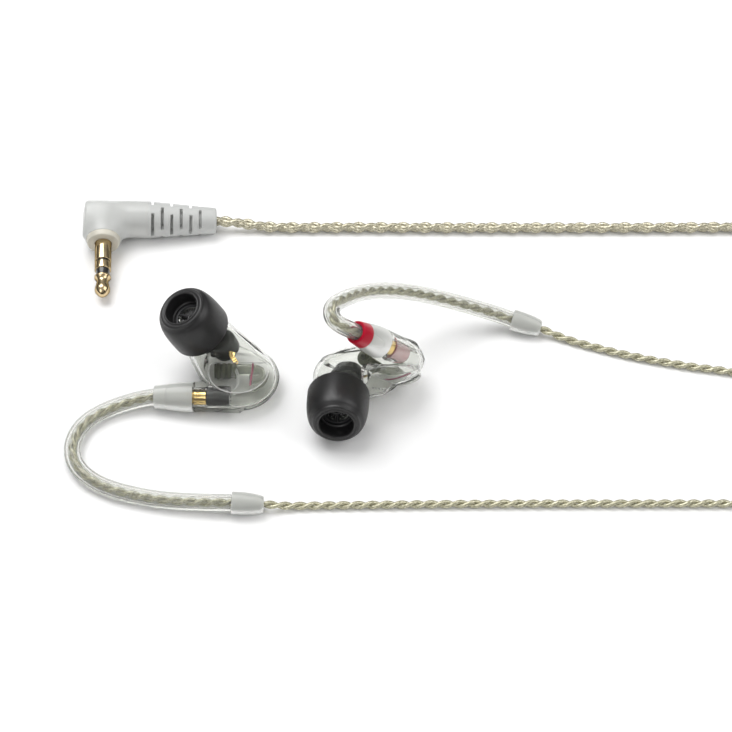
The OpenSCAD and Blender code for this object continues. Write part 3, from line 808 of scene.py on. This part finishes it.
def shell_half(pts, quads, sign):
    """The part of the shell on one side of its parting plane, closed there."""
    me = bpy.data.meshes.new("half")
    me.from_pydata(pts.tolist(), [], quads)
    bm = bmesh.new()
    bm.from_mesh(me)
    geom = bm.verts[:] + bm.edges[:] + bm.faces[:]
    bmesh.ops.bisect_plane(bm, geom=geom, plane_co=(0, 0, sign * PARTING_GAP),
                           plane_no=(0, 0, sign), clear_inner=True)
    rim = [e for e in bm.edges if e.is_boundary]
    bmesh.ops.triangle_fill(bm, edges=rim, use_beauty=True)
    bmesh.ops.recalc_face_normals(bm, faces=bm.faces)
    bm.verts.index_update()
    cut = np.array([v.co[:] for v in bm.verts])
    faces = [tuple(v.index for v in f.verts) for f in bm.faces]
    bm.free()
    bpy.data.meshes.remove(me)
    return cut, faces, None


def window_outline(n=160):
    """Points round the edge of the flat window."""
    mid = np.array(WINDOW_MID)
    a = around(n)
    way = np.stack([np.cos(a), np.sin(a)], axis=1)
    near, far = np.zeros(n), np.full(n, 9.0)
    for _ in range(30):
        r = 0.5 * (near + far)
        q = mid + r[:, None] * way
        inside = window_field(q[:, 0], q[:, 1]) < 0
        near, far = np.where(inside, r, near), np.where(inside, far, r)
    q = mid + near[:, None] * way
    return np.column_stack([q, np.full(n, BODY_T / 2 + WINDOW_H)])


def parting_line(pts, bins=150):
    """The outer edge of the parting plane, as a closed line."""
    mid = np.array(PARTING_MID)
    q = pts[np.abs(pts[:, 2]) < 0.03][:, :2] - mid
    r = np.hypot(q[:, 0], q[:, 1])
    k = np.floor((np.arctan2(q[:, 1], q[:, 0]) + math.pi) / (2 * math.pi) * bins).astype(int) % bins
    edge = np.array([r[k == i].max() if (k == i).any() else np.nan for i in range(bins)])
    good = ~np.isnan(edge)
    edge = np.interp(np.arange(bins), np.arange(bins)[good], edge[good], period=bins)
    for _ in range(2):
        edge = 0.25 * np.roll(edge, 1) + 0.5 * edge + 0.25 * np.roll(edge, -1)
    a = (np.arange(bins) + 0.5) / bins * 2 * math.pi - math.pi
    return np.column_stack([mid[0] + edge * np.cos(a), mid[1] + edge * np.sin(a), np.zeros(bins)])


def closed_tube(line, radius, sides=10):
    """A tube round a closed line."""
    t = unit_rows(np.roll(line, -1, axis=0) - np.roll(line, 1, axis=0))
    n = unit_rows(np.cross(t, (0, 0, 1)))
    b = np.cross(t, n)
    a = around(sides)
    pts = line[:, None] + radius * (
        np.cos(a)[None, :, None] * n[:, None] + np.sin(a)[None, :, None] * b[:, None])
    return pts.reshape(-1, 3), ring_faces(len(line), sides, closed=True), None


def ear_mesh(side, name, part, mat, body, nodes=(), sharp=None):
    """A piece drawn in an earpiece's own axes. body is cable_set, or a body's name without its side."""
    pts, faces, uv = part
    if side == "right":
        faces = flip_faces(faces)
    ob = mesh_piece(f"{side}_{name}", in_ear(side, pts), faces, mat, uv, sharp=sharp)
    whose = body if body == "cable_set" else f"{side}_{body}"
    finish_piece(ob, whose, [f"{side}_{n}" for n in nodes])


def turned(profile, place, sides=64):
    """A turned part: its profile of (radius, along) put in place."""
    pts, faces, uv = lathe(profile, sides)
    return place(pts), flip_faces(faces), uv


# ---------- earpieces ----------
def tip_profile():
    """The silicone tip in section: outside, lip, mouth, seat, stem and the hollow behind the skirt."""
    lip_r = TIP_RIM_R - 0.4
    out = [(5.35, 0.12), (5.55, 0.0), (5.8, 0.1)]
    for k in range(25):
        t = k / 24
        swell = math.sqrt(1 - t ** 3) * (1 - 0.03 * (1 - t))
        out.append((lip_r + (TIP_MOST_R - lip_r) * swell, 0.5 + (TIP_LEN - 1.2) * t))
    lip = [(4.66, 0.5), (4.6, 0.3), (4.45, 0.15), (4.25, 0.1), (4.0, 0.14), (3.86, 0.18),
           (3.8, 0.08), (3.68, 0), (3.52, 0.01), (3.4, 0.12), (TIP_MOUTH_R, 0.3)]
    out += [(q, TIP_LEN - d) for q, d in lip]
    out += [(TIP_MOUTH_R, 7.6), (TIP_MOUTH_R - 0.02, 6.3), (3.2, 6.05), (3.0, 6.0)]
    out += [(2.96, 5.9), (2.96, 1.7), (3.05, 1.57), (4.0, 1.57), (4.1, 1.7), (4.1, 3.5),
            (4.4, 4.7), (4.6, 4.8), (4.9, 4.8), (5.1, 4.6), (5.4, 2.5), (5.35, 0.5)]
    return out


def guard_part(place):
    """A ring with three spokes across the sound channel."""
    parts = [turned(rounded([(2.3, 0), (2.9, 0), (2.9, 0.7), (2.3, 0.7)], 0.2), place, 48)]
    for k in range(3):
        a = math.radians(30 + 120 * k)
        line = np.array([[q * math.cos(a), q * math.sin(a), 0.35] for q in np.linspace(0, 2.45, 6)])
        pts, faces, uv = tube(line, 0.3, 10)
        parts.append((place(pts), faces, uv))
    return join(parts)


def ribbon(path, across, width, thick):
    """A flat strip along a path, with its width along the direction across."""
    path = np.asarray(path, float)
    t = unit_rows(np.gradient(path, axis=0))
    w = unit_rows(np.cross(np.cross(t, across), t))
    n = np.cross(t, w)
    ring = [(0.5, 0.5), (-0.5, 0.5), (-0.5, -0.5), (0.5, -0.5)]
    pts = np.stack([path + u * width * w + v * thick * n for u, v in ring], axis=1).reshape(-1, 3)
    faces = ring_faces(len(path), 4)
    last = 4 * (len(path) - 1)
    faces += [(3, 2, 1, 0), (last, last + 1, last + 2, last + 3)]
    return pts, faces, None


def make_driver(side):
    """The dark driver can and the gold strip beside it."""
    can = rounded([(0.02, -1.3), (2.7, -1.3), (2.95, 0.3), (2.95, 1.9), (2.5, 2.6), (0.02, 2.7)], 0.5)
    ear_mesh(side, "driver", turned(can, lambda p: on_nozzle(p, DRIVER_AT)), M["driver"],
             "earphone", ["driver_frame"], 40)
    half, ripple, ripples = 1.7, 0.06, 7
    strip = [(half * u, 0, ripple * math.sin(math.pi * (u + 1) * ripples))
             for u in np.linspace(-1, 1, 49)]
    pts, faces, _ = ribbon(strip, (0, 1, 0), 0.9, 0.12)
    pts = pts @ rot(0, 35, -48).T + np.array(STRIP_AT)
    ear_mesh(side, "gold_strip", (pts, faces, None), M["gold"], "earphone", ["flex_strip"],
             30)


def make_duct(side):
    """The ribbed damper and the bent air duct behind it."""
    length, rib_pitch = 4.4, 1.1
    ribs = [(0.7, 0.0), (0.7, length)]
    for k in range(4):
        s = length - rib_pitch * k
        ribs += [(1.55, s), (1.7, s - 0.15), (1.7, s - 0.62), (1.45, s - 0.74), (1.45, s - 0.98)]
    ribs.append((1.5, 0.0))
    core = turned(ribs, lambda p: along_x(p) + np.array(DAMPER_AT), 40)
    ear_mesh(side, "damper_core", core, M["damper"], "earphone", ["damper"], 30)
    bend = [(7.2, 6.9, 0.3), (9, 6.95, 0.3), (11, 6.9, 0.3), (12.4, 6.5, 0.3), (13.1, 5.6, 0.3),
            (12.9, 4.6, 0.3), (12.0, 4.0, 0.3), (10.9, 3.8, 0.3)]
    pts, faces, _ = hollow_tube(even(catmull(bend, 6), 0.25), DUCT_R, DUCT_BORE_R)
    ear_mesh(side, "air_duct", (pts, faces, None), M["duct"], "earphone", (), 40)


def make_wiring(side):
    """The two wires from the socket, the red thread and the socket block."""
    wires = np.array([(7.4, 0.6, 0.2), (8.6, 2.2, 0.6), (8.4, 5, 1.4), (7.2, 7.3, 1.2),
                      (6.2, 8.3, 0.8)])
    for k, way in enumerate((-1, 1)):
        line = even(catmull(wires + way * np.array([0.14, 0.1, 0]), 8), 0.2)
        ear_mesh(side, f"wire_{k + 1}", tube(line, 0.11, 8), M["milky"], "earphone",
                 () if k else ["inner_wires"])
    thread = [(11.5, 7.4, 2.3), (11.6, 5.2, 2.7), (11.5, 3, 2.7), (11.4, 0.8, 2.4)]
    line = even(catmull(thread, 8), 0.2)
    ear_mesh(side, "red_thread", tube(line, 0.2, 10), M["mark"], "earphone", ())
    block = rounded([(1.0, 2.7), (1.84, 2.7), (1.84, 7.3), (0.02, 7.3), (0.02, 6.3), (1.0, 6.3)], 0.12)
    mat, slot = ("pink", "pink_plastic") if side == "right" else ("black", "black_plastic")
    ear_mesh(side, "socket_block", turned(block, along_x, 56), M[mat], "earphone", ["socket_body"],
             35)


def make_contact(side):
    """The gold contact barrel with its rings; it turns with the connector."""
    out = [(0.52, -2.2), (1.5, -2.2), (1.6, -2.1), (1.6, -0.3), (1.5, -0.2), (1.5, 0.1), (1.6, 0.2),
           (1.6, 0.7), (1.5, 0.8), (1.5, 1.05), (1.6, 1.15), (1.6, 2.5), (1.52, 2.6), (1.22, 2.6),
           (1.2, 2.5), (1.2, 0.05), (0.52, 0.0)]
    ear_mesh(side, "contact_body", turned(out, along_x, 56), M["gold"], "contact",
             ["contact_barrel"], 30)


def flexed(side, pts):
    """The soft tip tilted up a little on its nozzle, as silicone rests."""
    about = np.array([0, 0, TIP_BENDS_AT])
    up = NOZZLE_ROT.T @ EAR[side][0].T @ np.array([0, 0, 1.0])
    up = unit([up[0], up[1], 0])
    a = math.radians(TIP_LEAN[side])
    p = np.asarray(pts, float) - about
    u = p @ up
    q = p + np.outer(u * (math.cos(a) - 1) + p[:, 2] * math.sin(a), up)
    q[:, 2] = p[:, 2] * math.cos(a) - u * math.sin(a)
    return q + about


def make_tip(side):
    """The silicone tip and the wax guard in its mouth."""
    tip = turned(tip_profile(), lambda p: on_nozzle(flexed(side, p), (0, 0, TIP_OUT)), 96)
    ear_mesh(side, "tip", tip, M["silicone"], "tip", ["ear_tip"], 55)
    guard = guard_part(lambda p: on_nozzle(p, (0, 0, NOZZLE_LEN + 0.1)))
    ear_mesh(side, "guard", guard, M["guard"], "tip", ["wax_guard"], 40)


def make_connector(side):
    """The translucent connector shell and the coloured side ring behind it."""
    outer = [(2.55, -5.4), (2.7, -4.6), (2.82, -3.6), (2.95, -2.6), (3.02, -1.6), (3.05, -0.8),
             (3.05, -0.1), (2.98, -0.03)]
    inner = [(1.66, -0.03), (1.66, -2.25), (1.3, -2.3), (1.3, -3.6), (1.68, -3.65), (1.68, -5.4)]
    ear_mesh(side, "connector", turned(outer + inner, along_x, 72), M["connector"], "cable_set",
             ["connector_shell"], 35)
    ring = rounded([(1.68, -7.9), (2.25, -7.9, 0.2), (2.55, -5.42, 0.05), (1.68, -5.42)], 0.03)
    mat, slot = ("red", "red_plastic") if side == "right" else ("connector", "smoke_plastic")
    ear_mesh(side, "ring", turned(ring, along_x, 72), M[mat], "cable_set", ["side_ring"], 35)


def make_ferrule(side):
    """The ferrule over the sleeve's end."""
    route = catmull(hook_of(side), 2)
    v = unit(route[-1] - route[-2])
    e1 = unit(np.cross((0, 0, 1), v))
    m = np.stack([e1, np.cross(v, e1), v], axis=1)
    prof = [(1.7, 0.06), (1.76, 0.0), (2.08, 0.0), (2.18, 0.1), (2.2, 0.8), (2.18, 2.2), (2.1, 3.4),
            (1.95, 4.6), (1.78, 5.5), (1.6, 6.0), (1.4, 6.18), (1.1, 6.2), (1.0, 6.1), (1.0, 2.5),
            (1.7, 2.45)]
    pts, faces, uv = lathe(prof)
    pts = (pts - np.array([0, 0, FERRULE_IN])) @ m.T + route[-1]
    ob = mesh_piece(f"{side}_ferrule", pts * MM, flip_faces(faces), M["connector"], uv, sharp=35)
    finish_piece(ob, "cable_set", [f"{side}_hook_ferrule"])


SHELL = housing_shell()
HALVES = {"outer": shell_half(*SHELL, -1), "inner": shell_half(*SHELL, 1)}
for side in SIDES:
    for name, part in HALVES.items():
        ear_mesh(side, f"{name}_housing", part, M["shell"], "earphone", [f"{name}_shell"],
                 30)
    # The pale bead round the window is a painted highlight along its edge.
    painted_highlight_bead = closed_tube(window_outline(), 0.11)
    ear_mesh(side, "window_highlight_bead", painted_highlight_bead, M["rim"], "earphone", ())
    seam = closed_tube(parting_line(HALVES["outer"][0]), 0.06)
    ear_mesh(side, "parting_line", seam, M["seam"], "earphone", ())
    make_driver(side)
    make_duct(side)
    make_wiring(side)
    make_contact(side)
    make_tip(side)
    make_connector(side)
    make_ferrule(side)


# ---------- plug ----------
def in_plug(pts):
    """From the plug's own axes, with the boot along +X and the jack along -Y, to the frame."""
    return (np.asarray(pts, float) @ rot(*PLUG_TURN).T + np.array(PLUG_AT)) * MM


def on_jack(pts, s=0.0):
    """What is drawn along +Z, laid along the jack from the plug's nose."""
    p = np.asarray(pts, float)
    return np.stack([p[:, 0], -NOSE_Y - s - p[:, 2], p[:, 1]], axis=1)


def plug_piece(name, part, mat, node, sharp=35):
    """A piece of the plug, in place of its CAD node."""
    pts, faces, uv = part
    ob = mesh_piece(name, in_plug(pts), faces, mat, uv, sharp=sharp)
    finish_piece(ob, "cable_set", [node])


def make_plug_body():
    """The arm and the nose as one soft form, bored for the jack and the cable."""
    lo, hi = (-4.4, -6.9, -4.6), (10.2, 4.6, 4.6)
    x, y, z = axes(lo, hi, PLUG_STEP)
    end_taper = 0.035 * np.maximum(-1.5 - x, 0)
    arm = soft_max(np.hypot(y, z) - PLUG_R + end_taper, -3.7 - x, 0.35)
    nose = np.maximum(np.hypot(x, z) - NOSE_R, np.maximum(y, -NOSE_Y + COLLAR_T - y))
    body = soft_min(arm, nose, 3.0)
    body = np.maximum(body, -rod(x, y, z, (0, 2.1, 0), (0, -8, 0), CORE_BORE_R))
    body = np.maximum(body, -rod(x, y, z, (1, 0, 0), (12, 0, 0), MAIN_BORE_R))
    body = np.maximum(body, x - ARM_LEN + 0.01)
    pts, faces = field_mesh(body, lo, PLUG_STEP)
    plug_piece("plug_housing", (pts, faces, None), M["milky"], "plug_body")


def make_boot():
    """The tapered boot, with rows of three slots that are turned on every other row."""
    lo, hi = (-0.8, -4.5, -4.5), (BOOT_LEN + 0.6, 4.5, 4.5)
    x, y, z = axes(lo, hi, PLUG_STEP)
    r = np.hypot(y, z)
    taper = PLUG_R - BOOT_TAPER * x / BOOT_LEN
    boot = soft_max(r - taper, x - BOOT_LEN, 0.5)
    boot = np.maximum(boot, -0.15 - x)
    boot = np.maximum(boot, MAIN_BORE_R + 0.02 - r)
    angle = np.degrees(np.arctan2(y, -z))
    half_width, half_angle, floor_r = 0.3, 42, 2.1
    for i in range(SLOT_ROWS):
        band = np.abs(x - 0.9 - SLOT_PITCH * i) - half_width
        for k in range(3):
            mid = 120 * k + (95 if i % 2 else 1)
            off = np.abs((angle - mid + 180) % 360 - 180) - half_angle
            slit = np.maximum(np.maximum(band, np.radians(off) * r), floor_r - r)
            boot = np.maximum(boot, -slit)
    pts, faces = field_mesh(boot, lo, PLUG_STEP)
    plug_piece("plug_relief", (pts + np.array([ARM_LEN, 0, 0]), faces, None), M["boot"],
               "plug_boot")


def make_jack():
    """The nose's collar and the jack with its three poles and the spacers between them."""
    collar = rounded([(1.78, 0), (NOSE_R, 0, 0.1), (3.35, COLLAR_T, 0.25), (1.78, COLLAR_T)], 0.05)
    plug_piece("plug_nose", turned(collar, lambda p: on_jack(p, -COLLAR_T)), M["collar"],
               "plug_collar")
    sleeve = rounded([(1.25, -2), (1.75, -2), (1.75, 4.9, 0.12), (1.25, 4.9)], 0.03)
    ring = rounded([(1.25, 5.4), (1.72, 5.4, 0.12), (1.72, 7.3, 0.15), (1.25, 7.3)], 0.03)
    black = [(0.55, -2), (1.25, -2), (1.25, 4.9), (1.5, 4.9), (1.5, 5.4), (1.25, 5.4), (1.25, 7.3),
             (1.5, 7.3), (1.42, 7.8), (1.4, 8.3), (1.4, 8.8), (0.55, 8.8)]
    tip = [(0.002, -2), (0.55, -2), (0.55, 8.8), (1.62, 8.8), (1.72, 8.9), (1.72, 9.25), (1.62, 9.4),
           (1.3, 9.8), (1.22, 10.1), (1.24, 10.5), (1.45, 11.4), (1.6, 12.1), (1.6, 12.4), (1.5, 12.8),
           (1.1, 13.4), (0.6, 13.85), (0.3, 13.98), (0.002, 14.0)]
    for name, outline, mat, node, slot, sharp in (
        ("jack_pole_sleeve", sleeve, "pale_gold", "jack_sleeve", "gold_plate", 35),
        ("jack_pole_ring", ring, "pale_gold", "jack_ring", "gold_plate", 35),
        ("jack_spacers", black, "spacer", "jack_insulators", "black_plastic", 35),
        ("jack_pole_tip", tip, "pale_gold", "jack_tip", "gold_plate", 50),
    ):
        plug_piece(name, turned(outline, on_jack, 56), M[mat], node, sharp)


make_plug_body()
make_boot()
make_jack()


# ---------- slider, splitter and ties ----------
def pair_block(name, node, body, from_y, length, widths, high, pair_bores, main_bore=None):
    """A rounded block that the two leads run through, with an end for the main lead if it has one."""
    step = 0.15
    mid_x = 0.5 * sum(PAIR_X.values())
    lo = (mid_x - 4, from_y - 0.5, -0.5)
    hi = (mid_x + 4, from_y + length + 0.5, high + 0.5)
    x, y, z = axes(lo, hi, step)
    t = np.clip((y - from_y) / length, 0, 1)
    half = (widths[0] * (1 - t) + widths[1] * t) / 2
    r = high / 2
    f = np.hypot(np.maximum(np.abs(x - mid_x) - half + r, 0), z - r) - r
    f = soft_max(f, np.maximum(from_y + 0.3 - y, y - from_y - length + 0.3), 0.9)
    for px in PAIR_X.values():
        ends = [(px, py, PAIR_Z) for py in pair_bores]
        f = np.maximum(f, -rod(x, y, z, *ends, PAIR_BORE_R))
    if main_bore:
        ends = [(mid_x, main_bore, MAIN_BORE_Z), (mid_x, main_bore + 5, MAIN_BORE_Z)]
        f = np.maximum(f, -rod(x, y, z, *ends, MAIN_BORE_R))
    pts, faces = field_mesh(f, lo, step)
    ob = mesh_piece(f"{name}_body", pts * MM, faces, M["connector"], sharp=35)
    finish_piece(ob, body, [node])


def make_ties():
    """A soft strap round one side of each coil."""
    corner_r, strap_t, lowest = 0.5, 0.26, 0.005
    for name, at, (r_in, r_out), coil_h, angle in (
        ("leads_tie", LEADS_COIL_AT, (4.9, 13.9), 3.6, 160),
        ("main_tie", MAIN_COIL_AT, (7.5, 20.5), 5.3, 200),
    ):
        x0, x1 = r_in - 0.45 + corner_r, r_out + 0.65 - corner_r
        z0, z1 = 0.15 + corner_r, coil_h + 1.5 * TIE_T + 0.05 - corner_r
        loop = []
        for cx, cz, a0 in ((x1, z0, -90), (x1, z1, 0), (x0, z1, 90), (x0, z0, 180)):
            for k in range(7):
                a = math.radians(a0 + 15 * k)
                loop.append((cx + corner_r * math.cos(a), 0, cz + corner_r * math.sin(a)))
        loop.append(loop[0])
        pts, faces, _ = ribbon(even(loop, 0.4), (0, 1, 0), TIE_W, strap_t)
        pts = pts @ rot(0, 0, angle).T + np.array([at[0], at[1], 0])
        pts[:, 2] = np.maximum(pts[:, 2], lowest)
        ob = mesh_piece(f"{name}_strap", pts * MM, faces, M["tie"], sharp=40)
        finish_piece(ob, "cable_set", [name])


pair_block("slider", "chin_slider", "chin_slider", 1.0, 6.0, (6.6, 6.6), 2.9, (0, 10))
pair_block("splitter", "y_splitter", "cable_set", 28.0, 14.0, (6.6, 4.6), 3.8, (27, 30.05), 39.4)
make_ties()

# ---------- CAD nodes that are kept, in their materials ----------
NODES = frame["nodes"]
KEPT = {"plug_core": "ivory"}
for side in SIDES:
    KEPT.update({
        f"{side}_nozzle_mesh": "steel",
        f"{side}_driver_magnet": "driver",
        f"{side}_diaphragm": "driver",
        f"{side}_socket_contact": "gold",
        f"{side}_contact_pin": "gold",
    })
for node, kind in KEPT.items():
    NODES[node].data.materials.clear()
    NODES[node].data.materials.append(M[kind])


# ---------- stage ----------
def make_stage():
    """A plain pale floor, soft light from above and a bright room."""
    mat, tree, bsdf = material("floor", (0.93, 0.93, 0.93), 0.6)
    bsdf.inputs["Specular IOR Level"].default_value = 0.15
    half = 3.0
    corners = [(-half, -half, 0), (half, -half, 0), (half, half, 0), (-half, half, 0)]
    floor = mesh_piece("floor", corners, [(0, 1, 2, 3)], mat, smooth=False)
    world = bpy.data.worlds.new("room")
    bpy.context.scene.world = world
    world.use_nodes = True
    nodes, links = world.node_tree.nodes, world.node_tree.links
    tc = nodes.new("ShaderNodeTexCoord")
    sep = nodes.new("ShaderNodeSeparateXYZ")
    links.new(tc.outputs["Generated"], sep.inputs[0])
    grade = ramp(world.node_tree, sep.outputs["Z"], [(0.0, 0.10), (0.3, 0.2), (0.7, 0.6), (1.0, 0.9)])
    links.new(grade, nodes["Background"].inputs["Color"])
    nodes["Background"].inputs["Strength"].default_value = 0.7
    for name, at, size, power in (
        ("key", (-0.22, 0.28, 0.72), 0.6, 5.0),
        ("fill", (0.6, -0.1, 0.55), 0.6, 2.2),
        ("front", (-0.35, -0.55, 0.5), 0.4, 1.0),
    ):
        lamp = bpy.data.lights.new(name, "AREA")
        lamp.size = size
        lamp.energy = power
        ob = bpy.data.objects.new(name, lamp)
        ob.location = at
        aim = Vector((0.01, 0.01, 0)) - Vector(at)
        ob.rotation_euler = aim.to_track_quat("-Z", "Y").to_euler()
        bpy.context.scene.collection.objects.link(ob)


make_stage()
bpy.context.scene.view_settings.view_transform = "Standard"
